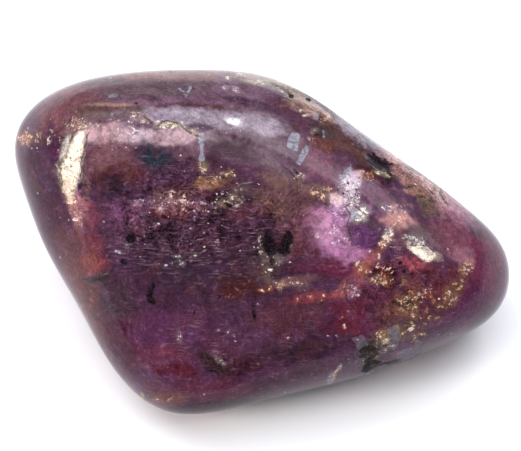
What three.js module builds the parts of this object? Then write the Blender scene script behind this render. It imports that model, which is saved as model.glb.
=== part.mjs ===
// Tumbled ruby: one opaque, polished stone, a rounded rhomb with worn facets,
// lying on its flattest side. Millimetres, +Z up, origin under the middle of its box.
import * as THREE from 'three';
import { mergeVertices } from 'three/addons/utils/BufferGeometryUtils.js';

// Driving dimensions
const LENGTH = 30;          // longest extent, along X
const WEAR = 14;            // how crisp the worn edges are: a larger number is crisper
const LEAN = 35;            // degrees that the facet directions lean back about X
const BASE_DEPTH = 7.12;    // flat resting side below the stone's middle
const MESH_DETAIL = 19;     // divisions of the sphere that the skin is drawn from
const BLANK = [15, 10.5, 8.5];  // half sizes of the blank that spreads the skin evenly

// Worn facets, each a direction and a distance from the middle of the stone.
// Bearing turns about the broad face from +X, tilt rises from its plane towards it.
const FACETS = [
  { name: 'broad face', bearing: -90, tilt: 80, distance: 6.2 },
  { name: 'upper bevel', bearing: 80, tilt: 40, distance: 9.5 },
  { name: 'upper right bevel', bearing: 52, tilt: 46, distance: 8.5 },
  { name: 'right end bevel', bearing: 14, tilt: 42, distance: 12.1 },
  { name: 'lower right bevel', bearing: -40, tilt: 36, distance: 13.6 },
  { name: 'front roll', bearing: -74, tilt: 28, distance: 9.5 },
  { name: 'lower left roll', bearing: -128, tilt: 34, distance: 12 },
  { name: 'left bevel', bearing: 206, tilt: 46, distance: 10.5 },
  { name: 'left tip bevel', bearing: 150, tilt: 44, distance: 14.5 },
  { name: 'top edge', bearing: 92, tilt: 0, distance: 10.9 },
  { name: 'upper left edge', bearing: 120, tilt: 0, distance: 15 },
  { name: 'left tip', bearing: 155, tilt: 0, distance: 17.3 },
  { name: 'left edge', bearing: 200, tilt: 0, distance: 13.05 },
  { name: 'lower left edge', bearing: 212, tilt: 0, distance: 11.9 },
  { name: 'lower corner', bearing: -118, tilt: 0, distance: 12.95 },
  { name: 'lower edge', bearing: -74, tilt: 0, distance: 9.5 },
  { name: 'lower right edge', bearing: -60, tilt: 0, distance: 11.7 },
  { name: 'right tip underside', bearing: -30, tilt: 0, distance: 15.5 },
  { name: 'right tip', bearing: 10, tilt: 0, distance: 15.3 },
  { name: 'upper right edge', bearing: 54, tilt: 0, distance: 9.2 },
  { name: 'resting side', bearing: -90, tilt: -55, distance: 7.2 },
  { name: 'back', bearing: 90, tilt: -80, distance: 8 },
  { name: 'back upper bevel', bearing: 85, tilt: -38, distance: 10.2 },
  { name: 'back right bevel', bearing: 15, tilt: -38, distance: 13.6 },
  { name: 'back left bevel', bearing: 185, tilt: -38, distance: 14 },
  { name: 'underside of the front', bearing: -90, tilt: -20, distance: 9.8 },
];

// Pits, hollows and chips. x and y lie in the plane of the broad face, long and
// wide are full widths, turn is in degrees from +X, and a negative depth is a lump.
const HOLLOWS = [
  { name: 'left of the twin pits', side: 1, x: 0.6, y: 0.0, long: 2.4, wide: 1.2, turn: 78, depth: 0.34 },
  { name: 'right of the twin pits', side: 1, x: 1.5, y: 0.0, long: 2.0, wide: 1.1, turn: 80, depth: 0.3 },
  { name: 'single pit', side: 1, x: -8.0, y: 0.3, long: 1.5, wide: 1.3, turn: 0, depth: 0.22 },
  { name: 'rough pit', side: 1, x: 6.7, y: -6.8, long: 2.9, wide: 2.0, turn: 40, depth: 0.36 },
  { name: 'lower hollow', side: 1, x: -2.9, y: -7.4, long: 3.2, wide: 1.3, turn: -36, depth: 0.26 },
  { name: 'dark pit', side: 1, x: 7.2, y: 5.1, long: 2.2, wide: 1.6, turn: -30, depth: 0.3 },
  { name: 'blue spot dent', side: 1, x: -6.6, y: 5.4, long: 1.8, wide: 1.4, turn: -20, depth: 0.14 },
  { name: 'split', side: 1, x: -0.5, y: -4.1, long: 2.6, wide: 0.9, turn: 92, depth: 0.16 },
  { name: 'mica step', side: 1, x: 5.4, y: 3.1, long: 3.2, wide: 1.6, turn: 62, depth: 0.16 },
  { name: 'rim chip near the top', side: 1, x: 1.6, y: 9.3, long: 2.2, wide: 1.0, turn: -30, depth: 0.22 },
  { name: 'rim chip', side: 1, x: 3.4, y: 8.5, long: 1.8, wide: 0.9, turn: -34, depth: 0.2 },
  { name: 'rim chip halfway', side: 1, x: 9.6, y: 4.6, long: 3.0, wide: 1.1, turn: -38, depth: 0.22 },
  { name: 'left tip pock', side: 1, x: -14.3, y: 6.6, long: 1.4, wide: 1.2, turn: 0, depth: 0.2 },
  { name: 'left rim notch', side: 1, x: -8.9, y: -8.0, long: 1.5, wide: 0.9, turn: -55, depth: 0.22 },
  { name: 'gold ring pit', side: 1, x: 7.6, y: -5.7, long: 1.2, wide: 1.1, turn: 0, depth: 0.2 },
  { name: 'grain lump', side: 1, x: -2.9, y: 3.7, long: 3.4, wide: 1.6, turn: -8, depth: -0.1 },
  { name: 'mica lump', side: 1, x: 5.6, y: 1.1, long: 2.6, wide: 1.5, turn: 20, depth: -0.1 },
  { name: 'rust lump', side: 1, x: 8.6, y: -3.4, long: 2.8, wide: 1.9, turn: 30, depth: -0.1 },
  { name: 'back hollow', side: -1, x: -5.2, y: 2.4, long: 3.6, wide: 1.9, turn: 25, depth: 0.3 },
  { name: 'back pit', side: -1, x: 2.2, y: 4.4, long: 1.8, wide: 1.4, turn: 70, depth: 0.28 },
  { name: 'back right pit', side: -1, x: 8.4, y: 0.6, long: 2.6, wide: 1.3, turn: -35, depth: 0.26 },
  { name: 'back left pit', side: -1, x: -10.6, y: 3.8, long: 1.7, wide: 1.3, turn: 10, depth: 0.24 },
  { name: 'back lump', side: -1, x: 0.4, y: 0.2, long: 4.2, wide: 2.4, turn: 15, depth: -0.14 },
];

// Long, low swells left by tumbling: direction, wavelength, height and shift.
const SWELLS = [
  { along: [0.8, 0.5, 0.33], wave: 9.5, height: 0.07, shift: 0.4 },
  { along: [-0.45, 0.8, 0.4], wave: 7.2, height: 0.05, shift: 2.1 },
  { along: [0.3, -0.6, 0.74], wave: 5.6, height: 0.035, shift: 4.4 },
];

const degrees = THREE.MathUtils.degToRad;

const facetPulls = FACETS.map(({ bearing, tilt, distance }) => new THREE.Vector3(
  Math.cos(degrees(tilt)) * Math.cos(degrees(bearing)),
  Math.cos(degrees(tilt)) * Math.sin(degrees(bearing)),
  Math.sin(degrees(tilt)),
).divideScalar(distance));

// Fraction of the way out to the worn skin: 1 on it, less inside.
function reach(point) {
  let sum = 0;
  for (const pull of facetPulls) {
    sum += Math.max(0, pull.dot(point)) ** WEAR;
  }
  return sum ** (1 / WEAR);
}

// Outward direction of the worn skin at a point.
function outward(point) {
  const direction = new THREE.Vector3();
  for (const pull of facetPulls) {
    direction.addScaledVector(pull, Math.max(0, pull.dot(point)) ** (WEAR - 1));
  }
  return direction.normalize();
}

// Point of the skin over a place in the plane of the broad face.
function skinOver(x, y, side) {
  let inside = 0;
  let outside = 14;
  for (let step = 0; step < 40; step += 1) {
    const middle = (inside + outside) / 2;
    if (reach(new THREE.Vector3(x, y, side * middle)) < 1) {
      inside = middle;
    } else {
      outside = middle;
    }
  }
  return new THREE.Vector3(x, y, side * inside);
}

const hollows = HOLLOWS.map((hollow) => {
  const centre = skinOver(hollow.x, hollow.y, hollow.side);
  const normal = outward(centre);
  const turn = degrees(hollow.turn);
  const along = new THREE.Vector3(Math.cos(turn), Math.sin(turn), 0);
  along.addScaledVector(normal, -along.dot(normal)).normalize();
  const across = new THREE.Vector3().crossVectors(normal, along);
  return { ...hollow, centre, normal, along, across };
});

// Depth taken off the skin at a point by the hollows, less what the lumps add.
function hollowDepth(point) {
  let depth = 0;
  for (const hollow of hollows) {
    const offset = point.clone().sub(hollow.centre);
    const u = offset.dot(hollow.along) / (hollow.long / 2);
    const v = offset.dot(hollow.across) / (hollow.wide / 2);
    const spread = u * u + v * v;
    if (spread < 2.25 && Math.abs(offset.dot(hollow.normal)) < 2) {
      depth += hollow.depth * (1 - spread / 2.25) ** 2;
    }
  }
  return depth;
}

function swellHeight(point) {
  let height = 0;
  for (const swell of SWELLS) {
    const along = new THREE.Vector3(...swell.along).normalize();
    height += swell.height * Math.sin(along.dot(point) * (2 * Math.PI / swell.wave) + swell.shift);
  }
  return height;
}

function stoneSkin() {
  let geometry = new THREE.IcosahedronGeometry(1, MESH_DETAIL);
  geometry.deleteAttribute('normal');
  geometry.deleteAttribute('uv');
  geometry = mergeVertices(geometry, 1e-5);
  const position = geometry.attributes.position;
  const lean = new THREE.Matrix4().makeRotationX(degrees(LEAN));
  const point = new THREE.Vector3();
  for (let i = 0; i < position.count; i += 1) {
    point.fromBufferAttribute(position, i);
    point.set(point.x * BLANK[0], point.y * BLANK[1], point.z * BLANK[2]);
    point.divideScalar(reach(point));
    point.addScaledVector(outward(point), swellHeight(point) - hollowDepth(point));
    point.applyMatrix4(lean);
    if (point.z < -BASE_DEPTH) {
      point.multiplyScalar(BASE_DEPTH / -point.z);
      point.z = -BASE_DEPTH;
    }
    position.setXYZ(i, point.x, point.y, point.z);
  }
  return geometry;
}

// Brings the longest extent to LENGTH, and the origin under the middle of the box.
function settle(geometry) {
  geometry.computeBoundingBox();
  const box = geometry.boundingBox;
  const scale = LENGTH / (box.max.x - box.min.x);
  geometry.translate(-(box.min.x + box.max.x) / 2, -(box.min.y + box.max.y) / 2, -box.min.z);
  geometry.scale(scale, scale, scale);
  return geometry;
}

const ruby = new THREE.MeshStandardMaterial({
  name: 'ruby',
  color: 0x5a3150,
  roughness: 0.18,
  metalness: 0,
});

const stone = new THREE.Mesh(settle(stoneSkin()), ruby);
stone.name = 'ruby_stone';

const part = new THREE.Group();
part.name = 'tumbled_ruby';
part.add(stone);

export default part;
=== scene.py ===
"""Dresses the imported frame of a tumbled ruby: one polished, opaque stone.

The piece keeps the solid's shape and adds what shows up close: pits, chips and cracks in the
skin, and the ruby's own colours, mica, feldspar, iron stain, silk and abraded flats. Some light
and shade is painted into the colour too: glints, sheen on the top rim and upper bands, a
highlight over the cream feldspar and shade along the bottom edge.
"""
import math

import bmesh
import bpy
import numpy as np
from mathutils import Matrix, Vector, noise
from mathutils.bvhtree import BVHTree


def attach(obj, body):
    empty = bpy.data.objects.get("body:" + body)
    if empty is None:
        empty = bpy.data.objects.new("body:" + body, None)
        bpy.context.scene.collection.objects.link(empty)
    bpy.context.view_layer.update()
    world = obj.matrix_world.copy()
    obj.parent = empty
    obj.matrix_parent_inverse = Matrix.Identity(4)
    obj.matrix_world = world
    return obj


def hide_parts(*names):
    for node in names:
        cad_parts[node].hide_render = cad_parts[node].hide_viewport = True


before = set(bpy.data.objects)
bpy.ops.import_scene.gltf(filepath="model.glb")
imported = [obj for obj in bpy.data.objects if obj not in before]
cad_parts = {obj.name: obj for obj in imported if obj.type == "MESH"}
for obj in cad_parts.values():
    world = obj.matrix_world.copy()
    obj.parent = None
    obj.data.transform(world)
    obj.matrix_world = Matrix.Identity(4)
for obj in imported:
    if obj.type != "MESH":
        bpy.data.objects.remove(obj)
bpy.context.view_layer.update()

# The photograph, and where it was taken from
PHOTO_WIDTH, PHOTO_HEIGHT = 521, 451
MIDDLE_PIXEL = (262, 245)
STONE_MIDDLE = Vector((-0.00003, -0.00022, 0.00705))
PIXELS_PER_MM = 16.5
CAMERA_DISTANCE = 0.19
CAMERA_ELEVATION = math.radians(55)
SENSOR_WIDTH = 36

# How the skin is cut and smoothed
HIDDEN_CUTS, SEEN_CUTS = 2, 1
FIRST_SMOOTHINGS, LAST_SMOOTHINGS = 10, 4
FINE_LIMIT = -0.04  # cosine to the eye, just behind the rim, up to which the skin is cut finer
FADE = (-0.17, -0.02)  # cosines to the eye over which the photograph's marks come in

# Sizes in mm of the noises that bend the marks' edges, and how far they bend them
WANDER, FLUTTER, KNOBS, FINE = 0.9, 0.3, 0.45, 0.2
WANDER_SHARE, FLUTTER_SHARE = 0.4, 0.3
CRACK_STRAY = 1.6  # pixels

# How soft the marks' edges are: where each fades out and where it is full, as a share of its size
TONE_EDGE, HIDDEN_TONE_EDGE = (1.5, 0.55), (1.3, 0.5)
MARK_EDGE = (1.5, 0.4)
GRAIN_BED_EDGE, BED_TONE_EDGE, VEIN_SHADE_EDGE = (1.5, 0.6), (1.6, 0.5), (2.0, 0.8)
POLISH_EDGE = (1.4, 0.7)
GRAIN_EDGE, GRAIN_TONE_EDGE = (1.3, 0.6), (1.35, 0.9)
CRYSTAL_EDGE = (0.12, -0.1)  # mm
CRACK_END = (0.3, 0.14)  # mm
FAR = 9.0  # mm, farther than any edge or crack shows

# Grains
GRAINS_PER_SQUARE_MM = 30
SHORTEST_GRAIN = 0.12  # mm
# The most that chance adds to the length and the least width, in mm, and the widest share of the length
CLUSTER_GRAINS, VEIN_GRAINS = (0.34, 0.04, 0.6), (0.4, 0.05, 0.5)
PLAIN_GRAIN, WHITE_GRAIN, BROWN_GRAIN = "#b8a0a0", "#f6efe8", "#54382c"
WHITER_SHARE, BROWNER_SHARE, GRAIN_MIX = 0.2, 0.3, 0.45
SEEN_SEED, HIDDEN_SEED = 11, 23

# Depths in mm
SMOOTHED_AWAY = 0.042  # what smoothing takes off the skin, put back
PIT_DEPTH, PIT_HEART_DEPTH = 0.03, 0.03
GRAIN_RELIEF, FINE_GRAIN_RELIEF = 0.012, 0.014
CRACK_DEPTH, FLAT_DEPTH = 0.02, 0.012
SKIN_RELIEF, FINE_SKIN_RELIEF = 0.003, 0.002
POLISHED_STAND, POLISHED_SHARE = 0.02, 0.85


def colour(hex_code):
    """Linear colour of an sRGB hex value."""
    levels = [int(hex_code[i:i + 2], 16) / 255 for i in (1, 3, 5)]
    return tuple(c / 12.92 if c <= 0.04045 else ((c + 0.055) / 1.055) ** 2.4 for c in levels)


def direction(bearing, elevation):
    """The way towards a place round the stone, by its bearing from +X and its elevation."""
    bearing, elevation = math.radians(bearing), math.radians(elevation)
    level = math.cos(elevation)
    return Vector((level * math.cos(bearing), level * math.sin(bearing), math.sin(elevation)))


# The camera

def camera_axes():
    right = Vector((1, 0, 0))
    up = Vector((0, math.sin(CAMERA_ELEVATION), math.cos(CAMERA_ELEVATION)))
    back = Vector((0, -math.cos(CAMERA_ELEVATION), math.sin(CAMERA_ELEVATION)))
    return right, up, back


def camera_place():
    right, up, back = camera_axes()
    aside = (PHOTO_WIDTH / 2 - MIDDLE_PIXEL[0]) / PIXELS_PER_MM / 1000
    above = (MIDDLE_PIXEL[1] - PHOTO_HEIGHT / 2) / PIXELS_PER_MM / 1000
    return STONE_MIDDLE + back * CAMERA_DISTANCE + right * aside + up * above


def add_camera():
    right, up, back = camera_axes()
    data = bpy.data.cameras.new("camera")
    data.sensor_width = SENSOR_WIDTH
    data.lens = CAMERA_DISTANCE * 1000 * PIXELS_PER_MM * SENSOR_WIDTH / PHOTO_WIDTH
    data.clip_start = 0.01
    data.clip_end = 10
    camera = bpy.data.objects.new("camera", data)
    turn = Matrix((right, up, back)).transposed().to_4x4()
    camera.matrix_world = Matrix.Translation(camera_place()) @ turn
    bpy.context.collection.objects.link(camera)
    bpy.context.scene.camera = camera


def photo_place(points):
    """Where points of the stone, in metres, fall in the photograph, in pixels."""
    right, up, back = (np.array(axis) for axis in camera_axes())
    offset = points - np.array(camera_place())
    depth = -offset @ back
    scale = CAMERA_DISTANCE * 1000 * PIXELS_PER_MM / depth
    across, down = offset @ right * scale, -offset @ up * scale
    return np.stack([PHOTO_WIDTH / 2 + across, PHOTO_HEIGHT / 2 + down], 1)


# The stone's skin

def smooth(shape, times):
    for _ in range(times):
        bmesh.ops.smooth_vert(shape, verts=shape.verts, factor=0.5, use_axis_x=True, use_axis_y=True,
                              use_axis_z=True)


def stone_mesh():
    """The solid's mesh, cut finer, most of all on the side that the photograph shows, and smoothed."""
    shape = bmesh.new()
    shape.from_mesh(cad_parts["ruby_stone"].data)
    bmesh.ops.remove_doubles(shape, verts=shape.verts, dist=1e-7)
    bmesh.ops.subdivide_edges(shape, edges=shape.edges, cuts=HIDDEN_CUTS, use_grid_fill=True)
    smooth(shape, FIRST_SMOOTHINGS)
    eye = camera_place()
    seen = set()
    for face in shape.faces:
        middle = face.calc_center_median()
        if face.normal.dot((eye - middle).normalized()) > FINE_LIMIT:
            seen.update(face.edges)
    bmesh.ops.subdivide_edges(shape, edges=list(seen), cuts=SEEN_CUTS, use_grid_fill=True)
    bmesh.ops.triangulate(shape, faces=shape.faces)
    smooth(shape, LAST_SMOOTHINGS)
    bmesh.ops.recalc_face_normals(shape, faces=shape.faces)
    mesh = bpy.data.meshes.new("ruby_stone_skin")
    shape.to_mesh(mesh)
    shape.free()
    return mesh


def vertex_array(mesh, source, name):
    values = np.empty(len(mesh.vertices) * 3)
    source.foreach_get(name, values)
    return values.reshape(-1, 3)


def rough_noise(points, size_mm, shift=0.0):
    """Soft random heights, about -1 to 1, with lumps of the size given."""
    scale = 1 / size_mm
    away = Vector((shift, shift, shift))
    return np.array([noise.noise(Vector(p) * scale + away) for p in points * 1000])


def smooth_step(low, high, values):
    t = np.clip((values - low) / (high - low), 0, 1)
    return t * t * (3 - 2 * t)


def turned(along, across, degrees):
    """A step in the photograph, in pixels down and right, from one along and across in mm."""
    angle = math.radians(degrees)
    right = along * math.cos(angle) - across * math.sin(angle)
    up = along * math.sin(angle) + across * math.cos(angle)
    return np.array((right, -up)) * PIXELS_PER_MM


class Skin:
    """The stone's points, with where each falls in the photograph and how much it faces it."""

    def __init__(self, mesh):
        self.points = vertex_array(mesh, mesh.vertices, "co")
        self.normals = vertex_array(mesh, mesh.vertex_normals, "vector")
        to_eye = np.array(camera_place()) - self.points
        to_eye /= np.linalg.norm(to_eye, axis=1, keepdims=True)
        self.seen = smooth_step(*FADE, (self.normals * to_eye).sum(1))
        self.places = photo_place(self.points)
        self.wander = np.stack([rough_noise(self.points, WANDER, shift) for shift in (0.0, 7.3)], 1)
        self.flutter = np.stack([rough_noise(self.points, FLUTTER, shift) for shift in (14.6, 21.9)], 1)
        self.knobs = rough_noise(self.points, KNOBS, 3.1)
        self.fine = rough_noise(self.points, FINE, 9.7)
        polygons = [tuple(p.vertices) for p in mesh.polygons]
        self.tree = BVHTree.FromPolygons([Vector(p) for p in self.points], polygons)

    def spot(self, pixel):
        """The point of the skin that shows at a pixel of the photograph."""
        right, up, back = camera_axes()
        aside = (pixel[0] - PHOTO_WIDTH / 2) / PIXELS_PER_MM / 1000
        above = (PHOTO_HEIGHT / 2 - pixel[1]) / PIXELS_PER_MM / 1000
        eye = camera_place()
        aim = (right * aside + up * above - back * CAMERA_DISTANCE).normalized()
        hit = self.tree.ray_cast(eye, aim)[0]
        if hit is None:
            hit = self.tree.find_nearest(eye + aim * CAMERA_DISTANCE)[0]
        return np.array(hit)

    def oval(self, pixel, size, turn):
        """The points about an oval patch, and how far out each is: 1 on the patch's edge."""
        half = np.array(size) / 2
        near = np.abs(self.places - pixel).max(1) < (half.max() * 2 + 0.5) * PIXELS_PER_MM
        near = np.flatnonzero(near & (self.seen > 0))
        stray = self.wander[near] * WANDER_SHARE + self.flutter[near] * FLUTTER_SHARE
        stray *= np.clip(min(size) - 0.3, 0.1, 1.3)
        offset = (self.places[near] - pixel) / PIXELS_PER_MM + stray
        angle = math.radians(turn)
        along = offset @ (math.cos(angle), -math.sin(angle))
        across = offset @ (math.sin(angle), math.cos(angle))
        distance = np.linalg.norm(self.points[near] - self.spot(pixel), axis=1) * 1000
        limit = distance * 0.6 / (half.max() + 0.5)
        return near, np.maximum(np.hypot(along / half[0], across / half[1]), limit)

    def ball(self, middle, size, stretch, turn):
        """The same for a patch anywhere on the skin, about a point of it."""
        offset = self.points * 1000 - middle
        near = np.flatnonzero((np.abs(offset) < size * 2.2 + 0.5).all(1))
        stray = np.concatenate([self.wander[near], self.flutter[near, :1]], 1) * 0.5 * size
        offset = (offset[near] + stray) @ turn * stretch
        return near, np.linalg.norm(offset, axis=1) / size

    def line(self, pixels):
        """Signed distance in mm from a line through pixels, and the distance from its own length."""
        path = np.array(pixels, float)
        best = np.full(len(self.points), FAR * PIXELS_PER_MM)
        side = np.zeros(len(self.points))
        places = self.places + np.stack([self.knobs, self.fine], 1) * CRACK_STRAY
        for start, end in zip(path[:-1], path[1:]):
            run = end - start
            offset = places - start
            t = np.clip(offset @ run / (run @ run), 0, 1)
            gap = np.linalg.norm(offset - t[:, None] * run, axis=1)
            sign = np.sign(run[0] * offset[:, 1] - run[1] * offset[:, 0])
            closer = gap < best
            best = np.where(closer, gap, best)
            side = np.where(closer, sign * gap, side)
        return side / PIXELS_PER_MM, np.where(self.seen > 0.3, best / PIXELS_PER_MM, FAR)

    def inside(self, corners):
        """Signed distance in mm from a straight-sided face of a crystal: below 0 inside it."""
        path = np.array(corners, float)
        middle = path.mean(0)
        worst = np.full(len(self.points), -FAR * PIXELS_PER_MM)
        for start, end in zip(path, np.roll(path, -1, 0)):
            run = (end - start) / np.linalg.norm(end - start)
            outward = np.array((run[1], -run[0]))
            if outward @ (middle - start) > 0:
                outward = -outward
            worst = np.maximum(worst, (self.places - start) @ outward)
        return np.where(self.seen > 0.5, worst / PIXELS_PER_MM, FAR)


def lay(colours, near, share, linear):
    """Lays a colour over some of the points' colours, as a share of each."""
    share = share[:, None]
    colours[near] = colours[near] * (1 - share) + np.array(linear) * share


class Coat:
    """What the skin is made of at each of its points: its colours, and how much of each mark."""

    def __init__(self, count):
        self.tone = np.tile(colour(BODY_VIOLET), (count, 1))
        self.grain_tone = np.tile(colour(PLAIN_GRAIN), (count, 1))
        marks = ("grain", "dark", "stain", "painted_glint", "silk", "coarse", "polish")
        self.layers = {name: np.zeros(count) for name in marks}

    def tint(self, near, share, linear):
        lay(self.tone, near, share, linear)

    def grow(self, key, near, amount):
        self.layers[key][near] = np.maximum(self.layers[key][near], amount)

    def add_grain(self, near, reach, linear, strength):
        lay(self.grain_tone, near, smooth_step(*GRAIN_TONE_EDGE, reach), linear)
        self.grow("grain", near, smooth_step(*GRAIN_EDGE, reach) * strength)


def grain_colour(chance, linear):
    """One grain's colour: near that of its cluster, sometimes whiter or browner."""
    pick = chance.random()
    linear = np.array(linear) * chance.uniform(0.8, 1.15)
    if pick < WHITER_SHARE:
        return linear * (1 - GRAIN_MIX) + np.array(colour(WHITE_GRAIN)) * GRAIN_MIX
    if pick > 1 - BROWNER_SHARE:
        return linear * (1 - GRAIN_MIX) + np.array(colour(BROWN_GRAIN)) * GRAIN_MIX
    return linear


def grain_size(chance, growth, thin, widest, share=1.0):
    """One grain's length and width in mm. Most grains are short."""
    long = (SHORTEST_GRAIN + growth * chance.random() ** 2) * share
    return long, thin + long * chance.uniform(0.2, widest)


def add_cluster(skin, coat, chance, pixel, size, turn, tint, fill):
    """A cluster of small grains, packed more closely the higher its fill is."""
    near, reach = skin.oval(pixel, size, turn)
    coat.grow("grain", near, smooth_step(*GRAIN_BED_EDGE, reach) * 0.3 * fill)
    coat.tint(near, smooth_step(*BED_TONE_EDGE, reach) * 0.25 * fill, colour(tint))
    for _ in range(max(3, round(size[0] * size[1] * GRAINS_PER_SQUARE_MM * fill))):
        far, way = math.sqrt(chance.random()), chance.uniform(0, math.tau)
        step = turned(far * math.cos(way) * size[0] / 2, far * math.sin(way) * size[1] / 2, turn)
        grain = grain_size(chance, *CLUSTER_GRAINS, min(1, 0.5 + max(size) / 3))
        near, reach = skin.oval(np.array(pixel) + step, grain, turn + chance.normal(0, 35))
        linear = grain_colour(chance, colour(tint))
        coat.add_grain(near, reach, linear, fill ** 0.5 * chance.uniform(0.25, 0.95))


def add_vein(skin, coat, chance, pixels, width, tint, fill):
    """A vein of grains strung along a line through pixels."""
    path = np.array(pixels, float)
    for start, end in zip(path[:-1], path[1:]):
        run = end - start
        length = np.linalg.norm(run) / PIXELS_PER_MM
        turn = math.degrees(math.atan2(-run[1], run[0]))
        for _ in range(max(2, round(length * (width + 0.1) * GRAINS_PER_SQUARE_MM * fill * 0.8))):
            step = turned(0, chance.normal(0, width / 1.5), turn)
            grain = grain_size(chance, *VEIN_GRAINS)
            near, reach = skin.oval(start + run * chance.random() + step, grain, turn + chance.normal(0, 45))
            linear = grain_colour(chance, colour(tint))
            coat.add_grain(near, reach, linear, fill ** 0.5 * chance.uniform(0.35, 1))
            coat.tint(near, smooth_step(*VEIN_SHADE_EDGE, reach) * 0.3, np.array(colour(tint)) * 0.4)


# The stone's minerals. Each patch has its place in the photograph in pixels, its long and wide
# sizes in mm, its turn in degrees from level, its colour, and how strong or closely packed it is.

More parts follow.
